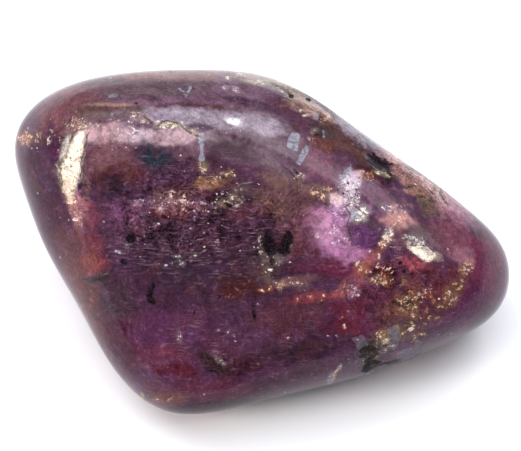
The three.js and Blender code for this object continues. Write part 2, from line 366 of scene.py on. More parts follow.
BODY_VIOLET = "#44263c"
# Some tones stand in for light: painted reflection, painted highlight and painted shade, each marked where
# it stands
TONES = [
    ("broad face", (210, 240), (13.5, 8.5), -8, "#301c28", 0.9),
    ("upper bevel", (170, 90), (12.0, 2.2), 0, "#58464a", 0.9),
    # Painted reflection: the top rim is painted lighter and greyer, as the bright ground behind would show
    # in it
    ("top rim painted sheen", (180, 75), (9.5, 0.6), 0, "#7e5a56", 0.8),
    ("upper bevel mauve", (235, 95), (4.6, 1.8), -4, "#6a5060", 0.7),
    ("top left rose", (68, 108), (3.6, 2.4), 32, "#643e42", 0.9),
    ("left bevel violet", (44, 195), (2.8, 7.2), 12, "#2e0420", 0.9),
    ("left lower bevel", (84, 290), (1.6, 7.0), 22, "#502c28", 0.8),
    ("brown under the gold streak", (112, 112), (4.6, 0.9), 0, "#48322e", 0.9),
    ("dark brown band", (195, 103), (8.5, 0.6), -1, "#6a4a5e", 0.8),
    ("gold streak", (113, 105), (3.0, 0.2), 0, "#86685e", 0.8),
    ("red-brown band", (190, 108), (5.2, 0.5), 0, "#381008", 0.8),
    ("purple streak", (246, 103), (3.0, 0.5), -12, "#2e1228", 0.9),
    # Painted reflection: the upper ridge is painted pale lilac-grey where the back light's gloss lies
    ("lilac-grey painted gloss band", (205, 118), (9.0, 1.0), -2, "#908290", 0.8),
    # Painted reflection: a greyer haze on the upper face where the overhead light is mirrored
    ("upper face painted reflection haze", (265, 140), (6.5, 2.8), -22, "#68505a", 0.8),
    ("grey violet by the bar", (228, 150), (3.6, 1.8), -10, "#2e1020", 0.9),
    ("deep magenta", (292, 116), (3.6, 1.1), -30, "#4c2a38", 0.9),
    ("dusty pink", (150, 138), (7.0, 0.9), 0, "#ac949e", 0.95),
    ("dusty pink left", (110, 134), (3.2, 1.1), 0, "#a8848a", 0.9),
    ("rose by the blue spot", (185, 150), (2.2, 1.6), -20, "#5e424e", 0.8),
    ("brown red left of the spot", (108, 158), (3.0, 2.0), 0, "#66444a", 0.9),
    ("dark maroon", (118, 178), (3.0, 1.5), 0, "#482422", 0.9),
    ("dark dip", (116, 187), (1.8, 1.1), 0, "#261824", 0.9),
    ("crimson left", (90, 214), (1.5, 1.6), 0, "#643040", 0.9),
    ("salmon band", (78, 205), (0.9, 2.2), 20, "#8e5e60", 0.8),
    ("brick-red band", (90, 248), (1.6, 3.4), 18, "#582a34", 0.95),
    ("orange-red end", (91, 262), (1.0, 1.6), 12, "#723832", 0.8),
    ("mauve right of the brick band", (110, 225), (1.2, 3.0), 12, "#482c3e", 0.8),
    ("violet core left", (135, 205), (3.2, 1.8), 8, "#3c2234", 0.8),
    ("red-brown centre", (176, 210), (3.0, 0.9), 8, "#4a2226", 0.9),
    ("maroon centre", (185, 192), (4.0, 1.2), 4, "#421c22", 0.7),
    ("dark centre", (240, 225), (4.5, 2.2), -4, "#341c2a", 0.8),
    ("dark upper centre", (250, 168), (3.4, 0.9), -12, "#4a2c3e", 0.8),
    ("brown-maroon right", (292, 202), (3.4, 2.6), -20, "#56383c", 0.85),
    ("brown under the scuffs", (285, 182), (3.0, 1.0), -18, "#6a4e4a", 0.8),
    ("lilac-pink slope", (322, 166), (3.4, 1.8), -32, "#6c4252", 0.95),
    ("red-brown slope", (350, 143), (4.0, 1.5), -36, "#4a2e2a", 0.9),
    ("orange-brown scale", (326, 145), (1.5, 0.8), -20, "#502e28", 0.9),
    ("rust brown by the dark pit", (367, 174), (1.5, 0.8), -20, "#200402", 0.95),
    ("cream rim", (268, 82), (4.5, 0.8), -15, "#98887a", 0.85),
    ("peach rim", (304, 103), (2.4, 1.1), -33, "#886e60", 0.9),
    ("orange-brown by the rim", (326, 120), (1.4, 0.9), -30, "#4e3428", 0.8),
    ("grey-black by the rim", (322, 132), (1.6, 0.7), -25, "#362c2a", 0.8),
    ("pale rim", (361, 135), (6.6, 0.9), -37, "#746872", 0.85),
    ("pale rim right", (422, 180), (5.0, 0.7), -42, "#98888c", 0.85),
    ("rosy rim", (420, 180), (5.5, 1.8), -40, "#ba8e88", 0.8),
    ("olive-brown rim", (410, 182), (2.4, 1.1), -38, "#62443c", 0.8),
    ("olive-brown rim lower", (428, 202), (1.9, 1.1), -45, "#504232", 0.8),
    ("mauve by the rim", (375, 198), (2.2, 1.6), -30, "#661824", 0.9),
    ("lilac rim", (455, 212), (2.4, 1.3), -48, "#9c6e7e", 0.7),
    ("pink-orange", (402, 222), (1.7, 1.0), -20, "#9a5c58", 0.85),
    ("grey by the ellipse", (418, 234), (2.2, 1.0), -28, "#381c2a", 0.85),
    ("rose right", (455, 240), (3.6, 1.8), -30, "#703e4c", 0.85),
    ("right tip violet", (482, 270), (3.2, 4.4), -20, "#5c243a", 0.9),
    ("right tip plum", (470, 305), (3.6, 2.0), 30, "#4c1e3c", 0.85),
    ("raspberry", (414, 265), (2.0, 0.9), -14, "#823c46", 0.95),
    ("lower right crimson", (430, 285), (3.6, 2.2), 0, "#4e1e24", 0.9),
    ("rust band", (385, 275), (2.0, 1.5), -50, "#300404", 0.85),
    ("lilac slope under the mica", (324, 226), (2.6, 1.8), 0, "#a46e8c", 0.85),
    ("lilac fan", (343, 252), (3.4, 1.3), -12, "#9c668a", 0.95),
    ("magenta-crimson", (330, 268), (4.0, 1.0), -6, "#541c34", 0.9),
    ("crimson under the pits", (300, 252), (2.4, 1.4), -20, "#462028", 0.8),
    ("wine crimson", (348, 318), (3.2, 2.4), 10, "#501c2c", 0.95),
    ("wine", (395, 310), (2.6, 1.6), 20, "#402628", 0.8),
    ("brown middle", (290, 315), (4.2, 2.4), 5, "#46242e", 0.85),
    ("plum below", (300, 350), (6.0, 1.6), 12, "#281820", 0.85),
    ("bottom band", (270, 385), (11.0, 1.2), 15, "#36142a", 0.8),
    ("brick-brown", (236, 288), (2.8, 1.6), -4, "#3a1a18", 0.9),
    ("brown lower left", (118, 300), (2.0, 2.8), 20, "#36262c", 0.85),
    ("dark violet middle", (185, 265), (5.5, 2.6), -6, "#32202e", 0.8),
    ("violet lower left", (168, 328), (5.2, 1.8), 4, "#48243e", 0.95),
    ("violet cloud", (215, 345), (2.4, 1.6), -18, "#442234", 0.9),
    ("rose band", (165, 352), (3.4, 0.9), -6, "#58283a", 0.9),
    ("rose-lilac", (150, 362), (3.4, 0.9), -4, "#5c3246", 0.8),
    ("deep crimson", (178, 370), (2.6, 0.9), -4, "#4a1824", 0.9),
    ("crimson lower middle", (240, 368), (2.4, 1.2), 20, "#280c0c", 0.8),
    ("olive hollow", (212, 363), (2.8, 0.9), -36, "#342024", 0.95),
    ("lower mauve", (195, 390), (6.5, 1.4), 2, "#4a2432", 0.85),
    ("tan lower edge", (168, 398), (2.2, 0.8), -2, "#5e3a36", 0.9),
    ("peach lower edge", (146, 396), (1.0, 0.5), -25, "#280a08", 0.8),
    ("lower left mauve", (120, 345), (1.6, 3.6), 25, "#320618", 0.8),
    ("dark olive step", (100, 279), (1.5, 0.6), 4, "#2c2a34", 0.9),
    ("blue-green spot", (154, 157), (2.2, 1.4), -12, "#2a2832", 0.8),
    ("violet face left", (124, 213), (1.8, 1.2), 0, "#623a56", 0.8),
    ("brown by the bronze", (447, 300), (3.4, 1.0), 50, "#5a3830", 0.65),
    ("brown by the gold dots", (404, 304), (2.8, 2.2), 30, "#5a342e", 0.7),
    ("olive by the slabs", (398, 332), (3.0, 1.1), 15, "#4a3a2e", 0.75),
    ("rose by the bronze", (462, 255), (1.8, 1.2), -40, "#92626e", 0.6),
    ("olive by the pits", (262, 268), (1.4, 2.4), 10, "#402e30", 0.6),
    ("pink below the mica", (341, 203), (1.5, 1.0), -10, "#dab6c6", 0.9),
    ("pink by the vein", (394, 217), (1.6, 1.6), -30, "#9c6c70", 0.75),
    ("cream by the ellipse", (436, 257), (0.7, 0.5), -27, "#a08878", 0.6),
    # Painted reflection: the same painted gloss band, going on to the right
    ("painted gloss band right", (256, 124), (3.4, 1.0), -14, "#9c8e9a", 0.75),
    ("tan above the amber", (292, 281), (3.0, 0.6), 6, "#704e50", 0.6),
    ("rust by the peach vein", (352, 284), (1.8, 0.8), 36, "#945850", 0.7),
    # Painted shade: the bottom, lower right and right edges are painted near black, where shade falls under
    # the stone
    ("bottom edge", (235, 404), (9.0, 0.7), 6, "#1c0a18", 0.85),
    ("bottom edge right", (395, 364), (6.4, 0.7), 22, "#1c0a18", 0.85),
    ("right edge", (478, 325), (3.2, 0.8), 42, "#1c0a18", 0.8),
    ("maroon by the twin pits", (300, 232), (2.2, 2.6), -60, "#5a343c", 0.7),
    ("maroon under the gold patch", (250, 212), (3.0, 1.0), 0, "#4a2830", 0.6),
    ("brown over the pits", (272, 200), (2.2, 1.4), -30, "#5c403c", 0.7),
    ("red vein fork", (368, 262), (2.2, 0.7), 50, "#7c3c34", 0.7),
    ("plum by the rust clot", (362, 284), (1.8, 1.0), 0, "#5c2c40", 0.7),
    ("wine by the rust clot", (372, 298), (2.2, 1.4), 10, "#4c2230", 0.7),
    ("maroon by the clot", (405, 240), (1.2, 1.8), 30, "#5a3440", 0.7),
    ("grey-brown right of the clot", (432, 236), (1.8, 1.4), -30, "#54363e", 0.6),
    ("amber glow", (210, 183), (1.7, 0.7), 4, "#725040", 0.85),
    ("peach glow", (320, 297), (3.2, 0.6), 8, "#7c383e", 0.7),
    ("amber streak glow", (267, 289), (1.4, 0.25), 10, "#582028", 0.8),
    ("dark by the highlight", (86, 178), (0.5, 2.4), 4, "#624446", 0.8),
]

# Crystals with straight sides, by their corners
CRYSTALS = [
    # Partly painted highlight: pale feldspar, painted near white where the window's highlight falls on it
    ("cream feldspar with painted highlight", [(79, 132), (89, 131), (86, 145), (82, 162), (80, 182), (71, 202), (63, 188),
                        (59, 170), (66, 150)], "#e2cdb6", 0.95),
    ("grey side of the cream", [(75, 135), (66, 150), (60, 163), (58, 176), (54, 168), (60, 148), (68, 136)],
     "#a09890", 0.85),
    ("lilac block", [(331, 207), (345, 204), (352, 220), (336, 224), (328, 214)], "#8c5c84", 0.9),
    ("deep violet crystal", [(350, 228), (364, 224), (379, 240), (366, 250), (352, 244)], "#583056", 0.9),
    ("pink wedge by the blue spot", [(160, 129), (181, 127), (197, 136), (188, 144), (166, 146), (150, 141)],
     "#a88890", 0.7),
    ("blue-green spot", [(142, 155), (146, 150), (154, 149), (163, 153), (166, 159), (160, 165),
                         (151, 165), (144, 161)], "#18262e", 0.85),
    ("white mica", [(345, 172), (362, 171), (360, 186), (353, 198), (357, 206), (345, 205), (339, 190)],
     "#c0a4b8", 0.9),
    ("mauve crystal", [(356, 190), (376, 180), (392, 196), (386, 218), (364, 212)], "#5c3e58", 0.7),
]

CLUSTERS = [
    # Partly painted highlight: cream feldspar grains, painted near white under the window's highlight
    ("cream by the tip, painted highlight", (73, 156), (0.8, 2.6), 14, "#f4e4d0", 0.6),
    ("peach below the cream", (68, 190), (0.7, 1.8), 14, "#d8a884", 0.6),
    ("pink below", (76, 218), (0.5, 1.8), 16, "#d09a94", 0.5),
    ("dark edge grains", (60, 176), (0.5, 1.6), 14, "#a89888", 0.5),
    ("gold bleb", (26, 138), (0.8, 0.8), 0, "#d89850", 0.8),
    ("golden brown", (43, 139), (1.1, 0.7), 0, "#84604c", 0.5),
    ("brown grains", (76, 124), (1.2, 0.7), 30, "#9c8070", 0.7),
    ("tan grains", (88, 126), (1.3, 0.5), 0, "#b8a084", 0.6),
    ("cream patch", (170, 125), (1.7, 0.35), 4, "#ecdcb8", 0.9),
    ("tan step", (141, 118), (1.4, 0.6), -20, "#b88c78", 0.7),
    ("sparkle cluster", (128, 133), (1.6, 1.0), -20, "#ccc0cc", 0.5),
    ("pink grains", (196, 135), (1.0, 0.3), -30, "#c89c90", 0.6),
    ("grey grains", (215, 129), (4.0, 0.5), -2, "#b4a8b4", 0.22),
    ("bar foot", (204, 167), (0.6, 0.8), 60, "#c4ac74", 0.7),
    ("amber", (208, 182), (1.7, 0.6), 4, "#b08458", 0.2),
    ("gold top", (226, 176), (1.3, 0.6), 14, "#c09c58", 0.5),
    ("olive pale grains", (238, 192), (1.5, 1.1), 35, "#a89c80", 0.3),
    ("olive grains lower", (223, 203), (1.3, 0.8), 20, "#b8a880", 0.45),
    ("pink-white grains", (170, 198), (2.2, 0.9), 10, "#c8a09c", 0.45),
    ("rosy grains", (192, 207), (2.2, 0.9), 0, "#b07c80", 0.4),
    ("pink streak", (137, 203), (1.0, 0.3), 26, "#d8b0c0", 0.5),
    ("pale left of the twin pits", (263, 250), (0.5, 2.2), 8, "#c8b0a0", 0.3),
    ("pale under the twin pits", (266, 273), (0.6, 1.2), 4, "#c4b098", 0.4),
    ("warm grains by the pits", (276, 262), (0.8, 0.6), 0, "#c8b098", 0.35),
    ("white mica grains", (350, 188), (1.1, 1.9), 22, "#e4d0dc", 0.8),
    ("pink mica grains", (342, 203), (1.2, 1.0), -10, "#e8ccd8", 0.7),
    ("cream round the triangle", (360, 214), (1.0, 0.9), 10, "#f0e8d4", 0.9),
    ("pink mica block", (338, 213), (1.4, 1.1), -6, "#d8a8cc", 0.4),
    ("lilac white grains", (330, 234), (2.3, 1.2), -20, "#dcb8d8", 0.4),
    ("white wisps by the rim", (388, 208), (1.0, 0.3), -20, "#d8c4cc", 0.5),
    ("orange-gold", (326, 194), (2.0, 0.9), -14, "#c8946c", 0.5),
    ("peach above the fan", (300, 176), (0.7, 0.5), 0, "#c89c88", 0.5),
    ("rust brown grains", (364, 175), (1.3, 0.7), -14, "#a05440", 0.7),
    ("pale-yellow streak", (383, 175), (1.1, 0.25), -20, "#e4d890", 0.9),
    ("gold by the rim", (398, 219), (1.2, 0.7), -20, "#d89c7c", 0.6),
    ("grey clot", (414, 239), (1.2, 0.6), -20, "#b4b0a8", 0.7),
    ("rust clot", (385, 272), (1.5, 1.0), -40, "#90482c", 0.5),
    ("cream grains by the vein", (388, 236), (0.5, 1.1), -24, "#e4ccc0", 0.8),
    ("pink grains by the vein", (394, 214), (1.3, 1.5), -24, "#d8a8a0", 0.3),
    ("gold clot", (378, 280), (1.3, 0.6), 0, "#d8ac80", 0.55),
    ("grey-cream grains", (302, 287), (1.0, 0.5), 0, "#b8a090", 0.3),
    ("pink-lilac bleb", (354, 291), (0.8, 0.7), 0, "#b88ca0", 0.8),
    ("rust dots", (421, 294), (1.4, 0.8), 0, "#b07048", 0.55),
    ("gold dots", (409, 304), (1.2, 1.2), 40, "#c8a074", 0.5),
    ("bronze", (450, 297), (0.7, 0.9), 30, "#b48c5c", 0.6),
    ("bronze above", (466, 268), (0.9, 1.1), -20, "#c49470", 0.6),
    ("pink rim bleb", (436, 195), (0.9, 0.5), -40, "#c8949c", 0.6),
    ("gold by the pit", (381, 334), (0.9, 0.5), 40, "#c09048", 0.7),
    ("gold in the pit", (371, 352), (1.1, 1.3), 30, "#b8a058", 0.5),
    ("gold ring", (385, 341), (0.4, 0.4), 0, "#f0dc90", 1.0),
    ("rim orange", (328, 117), (1.2, 0.6), -36, "#cc9070", 0.6),
    ("orange scale grains", (322, 143), (1.6, 0.7), -16, "#8c4c40", 0.35),
    ("white near the hollow", (219, 360), (0.9, 0.3), -40, "#c8bcb8", 0.6),
    ("pink in the cloud", (179, 336), (0.3, 0.9), 10, "#e8c8d0", 0.5),
    ("silver grain", (331, 378), (0.4, 0.8), -20, "#a8a8b4", 0.8),
    ("white tail", (339, 367), (0.5, 0.2), 60, "#f4e4d8", 0.9),
    ("orange tail", (335, 373), (0.5, 0.2), 60, "#d89050", 0.8),
    ("notch grains", (236, 90), (0.6, 0.3), -30, "#e8d8e0", 0.7),
    ("pale bleb on the bevel", (225, 88), (0.4, 0.3), 0, "#e0d0dc", 0.6),
]

# Veins of grains, each along a line of pixels, with its width in mm
VEINS = [
    ("tip band", [(22, 137), (43, 138), (58, 131), (70, 125), (78, 120)], 0.6, "#8a6450", 0.35),
    ("step below the band", [(104, 124), (118, 119), (140, 117), (146, 119)], 0.25, "#b08878", 0.5),
    ("crack lip", [(150, 124), (160, 124), (172, 122), (182, 126), (196, 134)], 0.2, "#dcc8a8", 0.7),
    ("amber row", [(199, 180), (210, 184), (222, 178), (236, 171)], 0.3, "#c89c60", 0.25),
    ("olive row", [(214, 209), (224, 204), (236, 198), (249, 186)], 0.3, "#a89878", 0.3),
    ("pink row", [(156, 204), (170, 197), (184, 201), (200, 198)], 0.3, "#c49c98", 0.4),
    ("amber streak", [(256, 291), (263, 291), (275, 287), (282, 285)], 0.08, "#e8a860", 0.7),
    ("peach vein", [(294, 300), (310, 298), (325, 296), (340, 290), (348, 285)], 0.16, "#c8846c", 0.55),
    ("gold vein", [(398, 224), (393, 232), (384, 244), (374, 254), (366, 264), (356, 279)], 0.3,
     "#cc946c", 0.6),
    ("pink line", [(286, 338), (300, 337), (325, 337), (345, 334)], 0.05, "#a86c70", 0.3),
    ("crimson seam", [(338, 306), (343, 316), (345, 330)], 0.14, "#b05048", 0.5),
    ("bronze vein", [(466, 268), (461, 277), (452, 288), (446, 300), (440, 312)], 0.3, "#a88048", 0.5),
    ("bronze vein lower", [(440, 312), (427, 322), (412, 329), (398, 336), (386, 344)], 0.4, "#c49a60", 0.5),
    ("bronze specks", [(398, 282), (408, 296), (410, 310), (404, 322)], 0.6, "#b8905c", 0.3),
    ("pit edge", [(384, 344), (372, 350), (364, 360), (362, 370)], 0.5, "#a89054", 0.4),
    ("rim cream", [(222, 74), (246, 77), (268, 82), (288, 91)], 0.35, "#e0d4c8", 0.4),
    ("rim peach", [(288, 91), (304, 100), (318, 111), (330, 120)], 0.6, "#d8b8a8", 0.4),
    ("rim far right", [(396, 154), (412, 165), (428, 179), (441, 195), (448, 208)], 0.3, "#c4a8a4", 0.5),
    ("tan lower edge", [(140, 394), (152, 399), (172, 401)], 0.2, "#a87c64", 0.5),
    ("pale streak left", [(117, 251), (125, 248), (133, 243)], 0.1, "#a8a0a8", 0.6),
    ("pale streak middle", [(163, 266), (170, 260), (180, 262), (188, 254), (197, 251)], 0.2,
     "#b0aca8", 0.4),
    ("pale streak over the amber", [(278, 282), (292, 281), (306, 285)], 0.2, "#c0a490", 0.6),
    ("fibres", [(216, 329), (226, 331), (236, 337)], 0.05, "#c8a8a0", 0.4),
    ("bottom edge flecks", [(262, 397), (290, 391), (318, 383)], 0.06, "#a8a8b8", 0.3),
    ("mica rim", [(344, 182), (352, 197), (356, 208), (366, 214)], 0.2, "#f4ecec", 0.7),
    ("dusty pink flecks", [(108, 128), (128, 134), (138, 140)], 0.5, "#e8c8d0", 0.3),
]

DARKS = [
    ("left twin pit", (270, 245), (0.8, 1.8), 8, 1.0),
    ("right twin pit", (286, 244), (0.9, 1.5), -6, 1.0),
    ("between the twin pits", (278, 246), (0.7, 0.8), 0, 0.6),
    ("under the twin pits", (272, 262), (0.4, 0.9), 0, 0.7),
    ("single pit", (131, 238), (0.7, 0.6), 0, 1.0),
    ("small pit", (124, 262), (0.5, 0.4), -40, 0.9),
    ("dark pit", (378, 163), (1.9, 0.9), -28, 0.9),
    ("dark slope under it", (388, 180), (1.1, 1.4), -40, 0.6),
    ("blue spot core", (150, 158), (0.8, 0.5), -12, 0.35),
    ("rough pit", (369, 356), (1.6, 1.8), 30, 0.7),
    ("rough pit foot", (366, 368), (0.9, 0.6), 20, 0.8),
    ("rough pit right", (390, 362), (1.8, 0.3), 14, 0.6),
    ("dark blot", (151, 292), (0.5, 1.4), -14, 0.65),
    ("dark blot foot", (152, 301), (0.6, 0.6), 0, 0.7),
    ("black slit", (254, 310), (0.35, 1.7), 8, 0.62),
    ("slash", (219, 298), (0.12, 0.5), -34, 0.85),
    ("slash lower", (194, 313), (0.14, 0.6), -28, 0.75),
    ("hollow", (224, 370), (1.9, 0.6), -38, 0.5),
    ("olive hole", (228, 205), (0.7, 0.3), -30, 0.7),
    ("olive hole left", (215, 204), (0.4, 0.25), 10, 0.7),
    ("gap", (181, 195), (0.25, 0.25), 0, 0.8),
    ("gap right", (191, 209), (0.5, 0.2), 4, 0.7),
    ("right pit", (400, 263), (0.3, 0.3), 0, 0.85),
    ("right pit lower", (404, 271), (0.3, 0.3), 0, 0.85),
    ("rim pit", (291, 97), (0.35, 0.25), -40, 0.9),
    ("rim pit right", (308, 100), (0.4, 0.2), -20, 0.9),
    ("rim crack pit", (330, 102), (0.5, 0.15), -38, 0.7),
    ("end of the gold streak", (136, 104), (0.2, 0.2), 0, 0.9),
    ("mica speck", (348, 183), (0.2, 0.2), 0, 0.95),
    ("mica speck lower", (343, 194), (0.18, 0.18), 0, 0.9),
    ("mica speck right", (356, 190), (0.15, 0.3), 0, 0.7),
    ("cream gap", (70, 158), (0.25, 0.18), 0, 0.8),
    ("cream gap lower", (71, 166), (0.18, 0.18), 0, 0.8),
    ("edge notch", (118, 376), (0.3, 0.7), 30, 0.95),
    ("silk shadow", (200, 262), (1.6, 0.2), 4, 0.5),
    ("shadow by the flats", (296, 172), (0.2, 0.6), 40, 0.6),
    ("olive in the rim", (320, 137), (1.2, 0.5), -24, 0.5),
    ("dark right of the clot", (414, 244), (0.5, 0.2), -20, 0.6),
    ("cleft by the pit", (396, 343), (0.9, 0.2), 20, 0.5),
    ("edge of the cream", (84, 172), (0.14, 1.6), 4, 0.6),
    ("dark grains by the tip band", (60, 138), (1.6, 0.5), 22, 0.45),
    ("contact by the brick band", (100, 279), (1.4, 0.4), 4, 0.5),
]

STAINS = [
    ("orange scale", (318, 145), (1.4, 0.8), -18, 0.3),
    ("rust by the pit", (367, 174), (1.3, 0.7), -16, 0.5),
    ("rust clots", (385, 276), (1.8, 1.3), -44, 0.45),
    ("rust in the vein", (360, 276), (1.2, 1.2), 50, 0.35),
    ("amber vein", (300, 296), (4.6, 0.5), 4, 0.25),
    ("rust by the crimson", (345, 318), (1.0, 1.0), 60, 0.5),
    ("bronze vein", (440, 305), (3.6, 1.0), 44, 0.5),
    ("bronze vein above", (462, 272), (1.6, 0.9), 60, 0.5),
    ("gold in the rough pit", (369, 352), (1.6, 1.3), 20, 0.6),
    ("tip stain", (30, 138), (1.4, 0.8), 4, 0.35),
    ("gold patch stain", (212, 182), (2.0, 0.8), 6, 0.3),
    ("brown stain", (236, 289), (2.4, 1.2), 0, 0.25),
    ("rim stain", (322, 118), (1.6, 0.9), -36, 0.35),
    ("olive rim stain", (418, 192), (2.6, 1.2), -42, 0.55),
    ("pit stain", (272, 205), (2.0, 1.0), -40, 0.45),
]

# Flats ground dull, each by its corners, with how much it hides the stone under it
FLATS = [
    ("trapezoid", [(291, 132), (300, 135), (297, 151), (286, 147)], 0.8),
    ("bar", [(306, 145), (309, 149), (300, 166), (296, 163)], 0.75),
    ("bar by the gold", [(199, 134), (205, 134), (204, 161), (199, 161)], 0.7),
    ("wedge by the mica", [(350, 165), (352, 170), (341, 182), (337, 180)], 0.7),
    ("slab", [(386, 328), (398, 324), (401, 338), (394, 350), (388, 346)], 0.22),
    ("slab right", [(396, 352), (412, 347), (414, 356), (397, 359)], 0.28),
    ("slab right end", [(416, 339), (422, 341), (419, 352), (414, 351)], 0.25),
    ("fleck", [(444, 345), (454, 342), (454, 346), (446, 349)], 0.6),
    ("slab left", [(352, 338), (363, 335), (368, 344), (358, 350)], 0.2),
    ("triangle", [(351, 211), (359, 212), (356, 219), (351, 219)], 0.8),
    ("small by the rim", [(313, 112), (319, 113), (317, 121), (313, 120)], 0.35),
    ("small lower", [(322, 131), (324, 131), (325, 138), (323, 138)], 0.5),
    ("grey smudge", [(108, 95), (118, 94), (118, 97), (109, 98)], 0.45),
    ("grey smudge lower", [(111, 112), (114, 114), (114, 117), (111, 116)], 0.45),
    ("top tick", [(169, 71), (171, 71), (171, 74), (169, 74)], 0.5),
    ("scratch down", [(178.2, 89), (179.8, 88.2), (187.7, 96.8), (186.2, 97.8)], 0.7),
    ("scratch up", [(186, 97), (187.6, 97.7), (191.4, 86.6), (189.8, 86)], 0.7),
    ("pit foot", [(368, 372), (372, 370), (363, 378), (360, 377)], 0.5),
    ("foot of the bottom edge", [(326, 380), (335, 377), (335, 380), (326, 383)], 0.5),
]

# Small polished faces, each with the bearing and elevation of the light that it mirrors
POLISHED_FACES = [
    ("bright ellipse", (422, 251), (2.0, 0.9), -27, (-28, 53)),
    ("glint on the band", (232, 121), (1.1, 0.55), -4, (74, 38)),
]

# Cracks, each along a line of pixels, with how broad it is: 1 for a hairline
CRACKS = [
    ("through the cream", [(73, 136), (69, 147), (67, 155), (61, 163), (60, 174), (62, 184)], 3.4),
    ("right of the cream", [(89, 134), (86, 146), (83, 156), (82, 166), (81, 176)], 1.4),
    ("under the upper band", [(144, 116), (150, 122), (156, 127), (161, 123), (168, 121), (175, 122),
                              (181, 125)], 1.8),
    ("wedge", [(182, 127), (187, 131), (193, 134), (200, 137)], 1.8),
    ("left of the mica", [(357, 190), (354, 198), (355, 206), (360, 212), (366, 214)], 1.4),
    ("rim", [(272, 84), (281, 88), (287, 92), (291, 97)], 2.2),
    ("rim outer", [(291, 90), (300, 93), (308, 97), (314, 100)], 1.2),
    ("rim right", [(317, 103), (323, 108), (329, 112), (334, 118)], 2.4),
    ("rim far right", [(399, 156), (408, 165), (417, 173), (425, 178), (433, 184)], 1.6),
    ("by the pink bleb", [(440, 190), (442, 197), (446, 204)], 1.4),
    ("dark line", [(283, 166), (289, 171), (296, 179), (297, 190)], 1.0),
    ("tip line", [(72, 118), (68, 124), (60, 131), (52, 136)], 1.0),
    ("grey step", [(171, 263), (180, 263), (189, 256), (198, 253)], 1.0),
    ("under the brick band", [(84, 279), (96, 277), (108, 272), (114, 268)], 1.0),
    ("right of the slit", [(346, 282), (344, 290), (348, 300), (356, 310)], 1.0),
    ("lower edge", [(371, 372), (388, 364), (405, 360), (420, 352)], 1.0),
    ("violet edge", [(348, 229), (352, 236), (351, 243)], 1.0),
    ("block edge", [(350, 204), (345, 207), (351, 216), (347, 224)], 1.0),
]

# Where glints are painted into the colour as white and pink dots, and how many
PAINTED_GLINTS = [
    ("broad face", (205, 220), (9.5, 6.5), 0, 0.7),
    ("white cluster", (127, 133), (1.8, 1.2), -20, 1.0),
    ("left of the spot", (118, 155), (3.0, 2.4), 0, 0.7),
    ("upper bevel", (200, 90), (9.0, 2.4), 0, 0.15),
    ("right of the centre", (345, 225), (3.6, 3.6), 0, 0.8),
    ("right side", (400, 250), (5.0, 4.0), 0, 0.6),
    ("gold vein", (430, 310), (4.5, 3.0), 44, 0.6),
    ("around the pits", (270, 255), (2.6, 3.0), 0, 0.8),
    ("gold patch", (212, 195), (3.4, 2.4), 0, 0.9),
    ("lower", (230, 345), (7.0, 3.4), 0, 0.2),
    ("brick band", (95, 245), (2.0, 3.6), 16, 0.5),
    ("tip", (45, 140), (3.4, 2.0), 0, 0.5),
    ("rim", (300, 95), (6.0, 2.0), -30, 0.5),
    ("right rim", (420, 180), (5.0, 2.0), -40, 0.6),
]

SILK = [
    ("broad face", (215, 235), (14.0, 8.0), 0, 0.6),
    ("lilac fan", (345, 254), (3.6, 1.6), -12, 1.0),
    ("violet cloud", (200, 338), (5.6, 2.6), 0, 0.7),
    ("gold patch", (225, 190), (4.0, 2.4), 0, 0.8),
    ("right of the slit", (305, 325), (4.6, 3.6), 0, 0.5),
]

# Where the stone is coarse and mottled, and not as even as elsewhere
COARSE = [
    ("broad face", (175, 215), (9.0, 6.5), -4, 1.0),
    ("middle", (270, 230), (6.0, 6.0), 0, 0.7),
    ("right of the middle", (350, 215), (6.0, 5.0), -30, 0.5),
    ("veins", (395, 290), (7.0, 5.0), 30, 0.65),
    ("rough pit", (375, 355), (3.6, 2.4), 20, 1.0),
    ("upper bevel", (200, 95), (9.0, 2.0), 0, 0.4),
    ("upper band", (180, 125), (8.0, 1.6), 0, 0.35),
    ("left ridge", (75, 175), (2.4, 6.0), 10, 0.7),
    ("rim", (330, 118), (9.0, 1.6), -34, 0.7),
    ("right rim", (415, 180), (5.0, 2.4), -40, 0.9),
    ("lower hollow", (220, 362), (3.6, 2.0), -30, 0.8),
]

# What grows on the hidden side: how many, and the smallest and largest size in mm
HIDDEN_PATCHES, HIDDEN_CLUSTERS, CLUSTER_GRAIN_SIZES = (120, 0.8, 2.6), (60, 0.3, 0.9), (0.08, 0.24)
HIDDEN_MARKS = [  # also the least strength
    ("dark", 34, 0.12, 0.5, 0.6),
    ("stain", 24, 0.3, 1.2, 0.5),
    ("painted_glint", 30, 1.0, 3.0, 0.3),
    ("silk", 16, 1.5, 3.5, 0.4),
    ("coarse", 22, 1.5, 4.0, 0.5),
]
LEAST_EVERYWHERE = [("painted_glint", 0.03), ("silk", 0.2), ("coarse", 0.35)]
HIDDEN_TONES = ["#4c2a40", "#5e3e48", "#643a58", "#742a48", "#5c3e42", "#683c66", "#7a3e4a", "#402030",
                "#8c5e78", "#583a3e", "#50304c", "#843c3e", "#643a5a", "#58343c"]
HIDDEN_GRAINS = ["#e4d4bc", "#c49a70", "#c08440", "#c8a098", "#d4bcd0", "#a8a078", "#b8aca8", "#c47c5c"]


